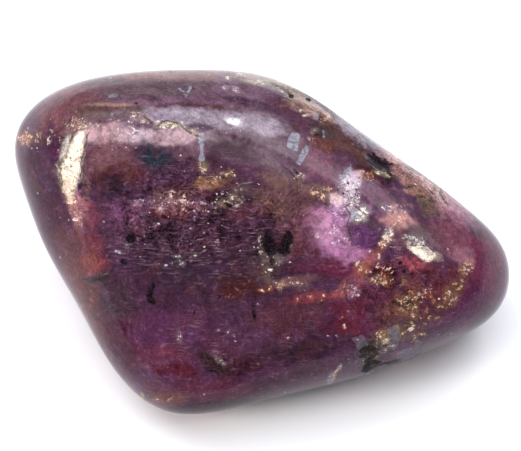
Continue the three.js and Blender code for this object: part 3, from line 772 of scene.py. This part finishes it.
def paint(skin):
    """Lays every mark on the skin, and gives the coat that the material reads."""
    coat = Coat(len(skin.points))
    chance = np.random.default_rng(SEEN_SEED)
    for _, pixel, size, turn, tint, strength in TONES:
        near, reach = skin.oval(pixel, size, turn)
        coat.tint(near, smooth_step(*TONE_EDGE, reach) * strength * skin.seen[near], colour(tint))
    everywhere = np.arange(len(skin.points))
    for _, corners, tint, strength in CRYSTALS:
        share = smooth_step(*CRYSTAL_EDGE, skin.inside(corners)) * strength
        coat.tint(everywhere, share, colour(tint))
    for _, pixel, size, turn, tint, fill in CLUSTERS:
        add_cluster(skin, coat, chance, pixel, size, turn, tint, fill)
    for _, pixels, width, tint, fill in VEINS:
        add_vein(skin, coat, chance, pixels, width, tint, fill)
    for key, marks in (("dark", DARKS), ("stain", STAINS), ("painted_glint", PAINTED_GLINTS), ("silk", SILK),
                       ("coarse", COARSE)):
        for _, pixel, size, turn, strength in marks:
            near, reach = skin.oval(pixel, size, turn)
            coat.grow(key, near, smooth_step(*MARK_EDGE, reach) * strength * skin.seen[near])
    for _, pixel, size, turn, _ in POLISHED_FACES:
        near, reach = skin.oval(pixel, size, turn)
        coat.grow("polish", near, smooth_step(*POLISH_EDGE, reach))
    coat.layers["flat"] = np.full(len(skin.points), FAR)
    coat.layers["frost"] = np.zeros(len(skin.points))
    for _, corners, strength in FLATS:
        gap = skin.inside(corners)
        coat.layers["frost"] = np.where(gap < coat.layers["flat"], strength, coat.layers["frost"])
        coat.layers["flat"] = np.minimum(coat.layers["flat"], gap)
    side, gap = np.full(len(skin.points), FAR), np.full(len(skin.points), FAR)
    for _, pixels, broad in CRACKS:
        new_side, new_gap = skin.line(pixels)
        new_side /= broad
        side, gap = np.where(new_gap < gap, new_side, side), np.minimum(gap, new_gap)
    coat.layers["crack_side"] = side
    coat.layers["crack_near"] = smooth_step(*CRACK_END, gap)
    paint_hidden_side(skin, coat)
    return coat


def paint_hidden_side(skin, coat):
    """Grows the same minerals, at random, on the sides that the photograph doesn't show."""
    chance = np.random.default_rng(HIDDEN_SEED)
    hidden = 1 - skin.seen
    there = np.flatnonzero(hidden > 0.4)

    def patches(number, small, large, about=None, spread=0.0):
        for _ in range(number):
            middle = skin.points[chance.choice(there)] * 1000
            if about is not None:
                middle = about + chance.normal(0, spread, 3)
                middle = np.array(skin.tree.find_nearest(Vector(middle / 1000))[0]) * 1000
            turn = np.linalg.qr(chance.normal(0, 1, (3, 3)))[0]
            stretch = np.array((1 / chance.uniform(1.2, 2.6), 1, chance.uniform(0.8, 1.3)))
            near, reach = skin.ball(middle, chance.uniform(small, large), stretch, turn)
            yield middle, near, reach

    for _, near, reach in patches(*HIDDEN_PATCHES):
        share = smooth_step(*HIDDEN_TONE_EDGE, reach) * 0.85 * hidden[near]
        coat.tint(near, share, colour(chance.choice(HIDDEN_TONES)))
    for middle, near, reach in patches(*HIDDEN_CLUSTERS):
        tint = np.array(colour(chance.choice(HIDDEN_GRAINS)))
        fill = chance.uniform(0.4, 1)
        spread = chance.uniform(0.2, 0.8)
        coat.grow("grain", near, smooth_step(*GRAIN_BED_EDGE, reach) * 0.3 * fill * hidden[near])
        number = int(28 * fill * (0.4 + spread))
        for _, grain, far in patches(number, *CLUSTER_GRAIN_SIZES, middle, spread):
            coat.add_grain(grain, far, grain_colour(chance, tint), fill ** 0.5 * chance.uniform(0.6, 1))
    for key, number, small, large, low in HIDDEN_MARKS:
        for _, near, reach in patches(number, small, large):
            amount = smooth_step(*MARK_EDGE, reach) * chance.uniform(low, 1)
            coat.grow(key, near, amount * hidden[near])
    for key, least in LEAST_EVERYWHERE:
        coat.layers[key] = np.maximum(coat.layers[key], least)


def flatten(skin, points, pixel, size, turn, mirrored):
    """Wears a small polished face on the skin, turned so that it mirrors what lies that way."""
    near, reach = skin.oval(pixel, size, turn)
    middle = skin.spot(pixel)
    to_eye = np.array(camera_place()) - middle
    facing = to_eye / np.linalg.norm(to_eye) + np.array(direction(*mirrored))
    facing /= np.linalg.norm(facing)
    rise = (points[near] - middle) @ facing + POLISHED_STAND / 1000
    points[near] -= (rise * smooth_step(1.4, 0.8, reach) * POLISHED_SHARE)[:, None] * facing


def wear(skin, layers):
    """Sinks the pits, cracks and flats into the skin and gives the new points."""
    points = skin.points.copy()
    for _, pixel, size, turn, mirrored in POLISHED_FACES:
        flatten(skin, points, pixel, size, turn, mirrored)
    depth = smooth_step(0.4, 0.75, layers["dark"] + skin.fine * 0.15) * PIT_DEPTH
    depth += smooth_step(0.6, 1.0, layers["dark"]) * PIT_HEART_DEPTH
    grains = skin.knobs * GRAIN_RELIEF + skin.fine * FINE_GRAIN_RELIEF
    depth += smooth_step(0.3, 0.7, layers["grain"]) * grains
    depth += smooth_step(0.08, 0.02, np.abs(layers["crack_side"])) * layers["crack_near"] * CRACK_DEPTH
    depth += smooth_step(0.04, -0.02, layers["flat"]) * FLAT_DEPTH
    depth += skin.fine * FINE_SKIN_RELIEF + skin.knobs * SKIN_RELIEF
    points -= skin.normals * (depth - SMOOTHED_AWAY)[:, None] / 1000
    points[:, 2] = np.maximum(points[:, 2], 0)
    return points


def add_values(mesh, name, values, kind="FLOAT"):
    """Gives the mesh's points a value or a colour that the material reads."""
    attribute = mesh.attributes.new(name, kind, "POINT")
    if kind == "FLOAT_COLOR":
        values = np.concatenate([values, np.ones((len(values), 1))], 1)
        attribute.data.foreach_set("color", values.astype(np.float32).ravel())
    else:
        attribute.data.foreach_set("value", values.astype(np.float32))


def add_stone():
    mesh = stone_mesh()
    skin = Skin(mesh)
    coat = paint(skin)
    mesh.vertices.foreach_set("co", wear(skin, coat.layers).ravel())
    mesh.polygons.foreach_set("use_smooth", [True] * len(mesh.polygons))
    add_values(mesh, "tone", coat.tone, "FLOAT_COLOR")
    add_values(mesh, "grain_tone", coat.grain_tone, "FLOAT_COLOR")
    for name, values in coat.layers.items():
        add_values(mesh, name, values)
    mesh.update()
    stone = bpy.data.objects.new("polished_ruby", mesh)
    bpy.context.collection.objects.link(stone)
    mesh.materials.append(ruby_material())
    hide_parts("ruby_stone")
    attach(stone, "root")


# Materials

def add(tree, kind, settings=None, sockets=None):
    """Adds a node with its settings, and its sockets' values and links."""
    node = tree.nodes.new(kind)
    for name, value in (settings or {}).items():
        setattr(node, name, value)
    for name, value in (sockets or {}).items():
        socket = node.inputs[name]
        if isinstance(value, bpy.types.NodeSocket):
            tree.links.new(value, socket)
        else:
            socket.default_value = value
    return node


def new_material(name):
    material = bpy.data.materials.new(name)
    material.use_nodes = True
    tree = material.node_tree
    tree.nodes.clear()
    return material, tree


# Sizes in mm of the ruby's patterns. The silk is drawn coarser than it is, so that it shows
CLOUDS, MOTTLE, GRIT, DUST = 2.2, 0.62, 0.2, 0.09
BROWN_CLOUDS, VIOLET_CLOUDS, SWARMS = 1.3, 1.1, 1.4
NEEDLE_WIDTH, THREAD_WIDTH = 0.13, 0.1
SILK_SHAPE = 0.12  # its width over its length

# Painted glints, white and pink dots painted into the colour: their spacing and radius in mm, and the share
# of places that have one
SMALL_PAINTED_GLINTS, LARGE_PAINTED_GLINTS = (0.16, 0.05, 0.35), (0.5, 0.09, 0.25)

# The ruby's surface
CORUNDUM_INDEX = 1.77
FULL_GLOSS, RIM_GLOSS = 0.08, 0.03
POLISH_ROUGHNESS, GRAIN_ROUGHNESS, PIT_ROUGHNESS, FLAT_ROUGHNESS = 0.12, 0.12, 0.12, 0.35


def ruby_material():
    """Ruby is corundum, tumbled to a high polish: dark and nearly opaque here, with silk in it.

    The eye gets a deep violet to crimson body with fine level fibres, pale mica and feldspar
    grains, iron stain, black pits and hairline cracks, all under one glassy surface. White and
    pink glints are painted into the colour as dots.
    """
    material, tree = new_material("polished opaque ruby")
    place = add(tree, "ShaderNodeTexCoord").outputs["Object"]
    mm = add(tree, "ShaderNodeVectorMath", {"operation": "SCALE"}, {0: place, "Scale": 1000}).outputs[0]

    def value(name):
        return add(tree, "ShaderNodeAttribute", {"attribute_name": name}).outputs["Fac"]

    def tint(name):
        return add(tree, "ShaderNodeAttribute", {"attribute_name": name}).outputs["Color"]

    def lumps(size_mm, detail=3.0, rough=0.6, at=mm, twist=0.0, output="Fac"):
        return add(tree, "ShaderNodeTexNoise", None, {
            "Vector": at, "Scale": 1 / size_mm, "Detail": detail, "Roughness": rough,
            "Distortion": twist}).outputs[output]

    def maths(operation, a, b=0.0, clamp=False):
        settings = {"operation": operation, "use_clamp": clamp}
        return add(tree, "ShaderNodeMath", settings, {0: a, 1: b}).outputs[0]

    def plus(total, *others):
        for other in others:
            total = maths("ADD", total, other)
        return total

    def times(total, *others):
        for other in others:
            total = maths("MULTIPLY", total, other)
        return total

    def less(a, b):
        return maths("SUBTRACT", a, b)

    def swing(pattern, strength):
        """A pattern as a swing to both sides of nothing."""
        return times(less(pattern, 0.5), strength)

    def vector(operation, a, b):
        second = "Scale" if operation == "SCALE" else 1
        return add(tree, "ShaderNodeVectorMath", {"operation": operation}, {0: a, second: b}).outputs[0]

    def drift(size_mm, detail, strength):
        """A soft random step each way, for bending a pattern."""
        ways = lumps(size_mm, detail, 0.5, output="Color")
        return vector("SCALE", vector("SUBTRACT", ways, (0.5, 0.5, 0.5)), strength)

    def step(amount, low, high, to=1.0, start=0.0):
        return add(tree, "ShaderNodeMapRange", {"interpolation_type": "SMOOTHSTEP"}, {
            "Value": amount, "From Min": low, "From Max": high, "To Min": start, "To Max": to}).outputs[0]

    def blend(share, under, over):
        if isinstance(over, str):
            over = (*colour(over), 1)
        if isinstance(under, str):
            under = (*colour(under), 1)
        return add(tree, "ShaderNodeMix", {"data_type": "RGBA"}, {0: share, 6: under, 7: over}).outputs[2]

    # Clouds, mottling, grit and dust in the stone, all but the dust bent by up to 0.3 mm, as it flowed
    bent = vector("ADD", mm, drift(1.6, 2, 1.2))
    clouds = lumps(CLOUDS, 4, 0.6, twist=0.8)
    mottle = lumps(MOTTLE, 4, 0.66, bent, 0.4)
    grit = lumps(GRIT, 3, 0.7, bent)
    dust = lumps(DUST, 2, 0.6)

    # Silk: needles 1 mm long that lie nearly level, and darken or lighten the stone
    slant = add(tree, "ShaderNodeMapping", {"vector_type": "POINT"}, {
        "Vector": vector("ADD", mm, drift(1.6, 2, 0.6)), "Rotation": (0.0, math.radians(4), 0.0),
        "Scale": (SILK_SHAPE, 1.0, 1.0)}).outputs[0]
    needles = lumps(NEEDLE_WIDTH, 3, 0.6, slant, 0.3)
    silk = swing(needles, times(value("silk"), 1.2))

    shade = plus(swing(clouds, 0.9), swing(mottle, 2.2), swing(grit, 2.4), swing(dust, 1.4), silk)
    shade = plus(times(shade, times(value("coarse"), 1.9)), 1.0)
    brown = step(lumps(BROWN_CLOUDS, 3, 0.6, twist=0.5), 0.5, 0.66, 0.4)
    violet = lumps(VIOLET_CLOUDS, 3, 0.6, vector("ADD", mm, (31.0, 7.0, 3.0)), 0.5)
    body = blend(brown, tint("tone"), "#46262a")
    body = blend(step(violet, 0.52, 0.68, 0.35), body, "#442a48")
    body = vector("SCALE", body, maths("MAXIMUM", shade, 0.18))
    wisps = times(step(mottle, 0.5, 0.64), step(grit, 0.52, 0.66, 0.5), value("coarse"))
    body = blend(wisps, body, "#987684")

    # Silk threads: short, bright and nearly level
    thread = lumps(THREAD_WIDTH, 2, 0.5, vector("ADD", slant, (5.0, 2.0, 9.0)), 0.2)
    threads = times(step(thread, 0.5, 0.7), step(clouds, 0.4, 0.62), times(value("silk"), 0.3))
    body = blend(threads, body, "#a88494")

    # Iron stain: thin rusty to golden skins along the grain edges
    stain = plus(value("stain"), swing(mottle, 2.0), swing(grit, 1.6))
    rust = blend(step(grit, 0.44, 0.62), "#481c14", "#a06438")
    body = blend(step(stain, 0.5, 0.85, 0.6), body, rust)

    # Mica and feldspar: pale grains with ragged edges, darker and brighter by the dust in them
    loose = times(plus(swing(grit, 2.6), swing(dust, 1.8)), step(value("grain"), 0.0, 0.25))
    grain = step(plus(value("grain"), loose), 0.34, 0.62)
    pale = vector("SCALE", tint("grain_tone"), maths("MAXIMUM", plus(times(dust, 2.0), -0.2), 0.3))
    pale = blend(step(grit, 0.55, 0.68, 0.5), pale, "#dcd4d0")
    body = blend(times(grain, 0.92), body, pale)

    # Painted glints: white and pink dots 0.03 to 0.3 mm long, painted into the colour where cleavage faces
    # would flash, in swarms
    swarm = step(lumps(SWARMS, 2, 0.5, vector("ADD", mm, (3.0, 17.0, 8.0))), 0.4, 0.6, 1.3, 0.3)

    def dots(spacing, radius, share):
        spread = vector("MULTIPLY", vector("ADD", mm, drift(0.12, 1, 0.16)), (0.6, 1.0, 1.0))
        cells = add(tree, "ShaderNodeTexVoronoi", {"feature": "F1"}, {
            "Vector": spread, "Scale": 1 / spacing})
        rank = add(tree, "ShaderNodeSeparateColor", None, {0: cells.outputs["Color"]}).outputs
        size = times(plus(times(rank[2], 0.7), 0.3), radius / spacing)
        inside = step(less(cells.outputs["Distance"], size), 0.08, -0.08)
        chosen = step(less(rank[0], times(value("painted_glint"), swarm, share)), 0.004, -0.004)
        glint = maths("ADD", times(rank[1], rank[1]), 0.2, True)
        return times(inside, chosen, glint), rank[1]

    small_painted_glints, small_rank = dots(*SMALL_PAINTED_GLINTS)
    large_painted_glints, large_rank = dots(*LARGE_PAINTED_GLINTS)
    # Painted glints also lie along the silk threads as short pale dashes
    painted_glint_dashes = maths("MULTIPLY", step(thread, 0.62, 0.74), times(value("painted_glint"), swarm), True)
    body = blend(times(painted_glint_dashes, 0.42), body, "#b898a4")
    body = blend(times(small_painted_glints, 0.8), body, blend(small_rank, "#9c7a8c", "#dccfd4"))
    body = blend(times(large_painted_glints, 0.85), body, blend(large_rank, "#b8929c", "#f0e8ec"))

    # Pits and gaps: black to dark olive, with a little grit in them
    rag = times(plus(swing(mottle, 1.0), swing(grit, 1.4)), step(value("dark"), 0.0, 0.3))
    dark = step(plus(value("dark"), rag), 0.3, 0.72)
    soot = blend(step(dust, 0.48, 0.62), "#07060b", "#2c2224")
    body = blend(times(dark, 0.96), body, soot)

    # Cracks: dark brown hairlines about 0.06 mm wide, more where they gape
    side = less(maths("ABSOLUTE", value("crack_side")), times(less(grit, 0.38), 0.25))
    crack = times(step(side, 0.03, -0.03), value("crack_near"))
    body = blend(times(crack, 0.85), body, "#2a1c16")

    # Flats ground dull by other stones: grey-blue, with a frosted face
    flat = step(plus(value("flat"), swing(mottle, 0.4)), 0.03, -0.03)
    frost = blend(step(grit, 0.3, 0.7), "#5c5c6a", "#a0a0ac")
    body = blend(times(flat, value("frost")), body, frost)

    rough = plus(times(grain, GRAIN_ROUGHNESS), POLISH_ROUGHNESS, times(dark, PIT_ROUGHNESS),
                 times(flat, FLAT_ROUGHNESS))
    height = less(plus(times(grit, 0.4), times(mottle, 0.4), times(grain, times(grit, 1.2))), crack)
    bump = add(tree, "ShaderNodeBump", None, {
        "Strength": 0.2, "Distance": 0.00006, "Height": height}).outputs[0]

    # The skin has lost most of corundum's gloss to fine scratches, most of all where it is seen
    # aslant. The small polished faces keep it, and the pits lose the rest of it to dirt
    aslant = add(tree, "ShaderNodeLayerWeight", None, {"Blend": 0.5}).outputs["Facing"]
    gloss = times(step(aslant, 0.5, 0.85, RIM_GLOSS, FULL_GLOSS), less(1.0, times(dark, 0.85)))
    gloss = plus(gloss, times(value("polish"), step(mottle, 0.4, 0.52, 0.5, 0.1)))
    shader = add(tree, "ShaderNodeBsdfPrincipled", None, {
        "Base Color": body, "Roughness": rough, "IOR": CORUNDUM_INDEX, "Specular IOR Level": gloss,
        "Normal": bump})
    add(tree, "ShaderNodeOutputMaterial", None, {"Surface": shader.outputs[0]})
    return material


def paper_material():
    """Matt white card, as laid under small goods: it gives the eye a plain bright ground."""
    material, tree = new_material("matt white card")
    shader = add(tree, "ShaderNodeBsdfPrincipled", None, {
        "Base Color": (*colour("#fafafc"), 1), "Roughness": 0.9, "Specular IOR Level": 0.1})
    add(tree, "ShaderNodeOutputMaterial", None, {"Surface": shader.outputs[0]})
    return material


# The studio

FLOOR_SIZE, LIGHT_DISTANCE = 3.0, 0.6  # metres

# Lights, each with its bearing and elevation, width and height in degrees, glow and colour
LIGHTS = [
    ("overhead", (-90, 85), (48, 48), 2.7, "#ffffff"),
    ("upper left", (150, 50), (30, 26), 4.0, "#ffffff"),
    ("back band", (48, 42), (44, 20), 4.6, "#ffffff"),
    ("glint", (74, 38), (3, 3), 24.0, "#ffffff"),
    ("window", (-155, 24), (12, 34), 20.0, "#fffaf2"),
    ("lamp", (-28, 53), (5, 5), 23.0, "#fff4d8"),
]

# The room's glow rises from below the horizon to near the zenith
LOW, HIGH = -0.1, 0.9
HORIZON_GLOW, ZENITH_GLOW = 0.15, 0.8

# It is dimmer round a place behind the camera: full dimness within the inner angle, none past the outer
DIM_PLACE, DIM_INNER, DIM_OUTER, DIM_SHARE = (-90, 26), 12, 50, 0.2


def add_floor():
    shape = bmesh.new()
    bmesh.ops.create_grid(shape, x_segments=1, y_segments=1, size=FLOOR_SIZE / 2)
    mesh = bpy.data.meshes.new("white_floor")
    shape.to_mesh(mesh)
    shape.free()
    mesh.materials.append(paper_material())
    floor = bpy.data.objects.new("white_floor", mesh)
    bpy.context.collection.objects.link(floor)


def softbox(name, place, size, glow, hue):
    """Adds a soft light that faces the stone."""
    width, height = (2 * LIGHT_DISTANCE * math.tan(math.radians(angle / 2)) for angle in size)
    data = bpy.data.lights.new(name, "AREA")
    data.shape = "RECTANGLE"
    data.size = width
    data.size_y = height
    data.energy = glow * math.pi * width * height
    data.color = colour(hue)
    light = bpy.data.objects.new(name, data)
    aim = direction(*place)
    facing = aim.to_track_quat("Z", "Y").to_matrix().to_4x4()
    light.matrix_world = Matrix.Translation(STONE_MIDDLE + aim * LIGHT_DISTANCE) @ facing
    light.visible_camera = False
    bpy.context.collection.objects.link(light)


def add_room():
    """A pale room, dimmer towards the horizon and behind the camera."""
    world = bpy.data.worlds.new("studio")
    world.use_nodes = True
    tree = world.node_tree
    tree.nodes.clear()
    around = add(tree, "ShaderNodeTexCoord").outputs["Generated"]
    height = add(tree, "ShaderNodeSeparateXYZ", None, {0: around}).outputs[2]
    sky = add(tree, "ShaderNodeMapRange", {"interpolation_type": "SMOOTHSTEP"}, {
        "Value": height, "From Min": LOW, "From Max": HIGH, "To Min": HORIZON_GLOW,
        "To Max": ZENITH_GLOW}).outputs[0]
    nearness = add(tree, "ShaderNodeVectorMath", {"operation": "DOT_PRODUCT"}, {
        0: around, 1: tuple(direction(*DIM_PLACE))}).outputs["Value"]
    dimming = add(tree, "ShaderNodeMapRange", {"interpolation_type": "SMOOTHSTEP"}, {
        "Value": nearness, "From Min": math.cos(math.radians(DIM_OUTER)),
        "From Max": math.cos(math.radians(DIM_INNER)), "To Min": 1.0, "To Max": DIM_SHARE}).outputs[0]
    glow = add(tree, "ShaderNodeMath", {"operation": "MULTIPLY"}, {0: sky, 1: dimming}).outputs[0]
    room = add(tree, "ShaderNodeBackground", None, {"Color": (*colour("#dce6f8"), 1), "Strength": glow})
    backdrop = add(tree, "ShaderNodeBackground", None, {"Color": (*colour("#ffffff"), 1), "Strength": 1.0})
    seen = add(tree, "ShaderNodeLightPath").outputs["Is Camera Ray"]
    mixed = add(tree, "ShaderNodeMixShader", None, {0: seen, 1: room.outputs[0], 2: backdrop.outputs[0]})
    add(tree, "ShaderNodeOutputWorld", None, {"Surface": mixed.outputs[0]})
    bpy.context.scene.world = world


add_camera()
add_stone()
add_floor()
for row in LIGHTS:
    softbox(*row)
add_room()
bpy.context.scene.view_settings.view_transform = "Standard"
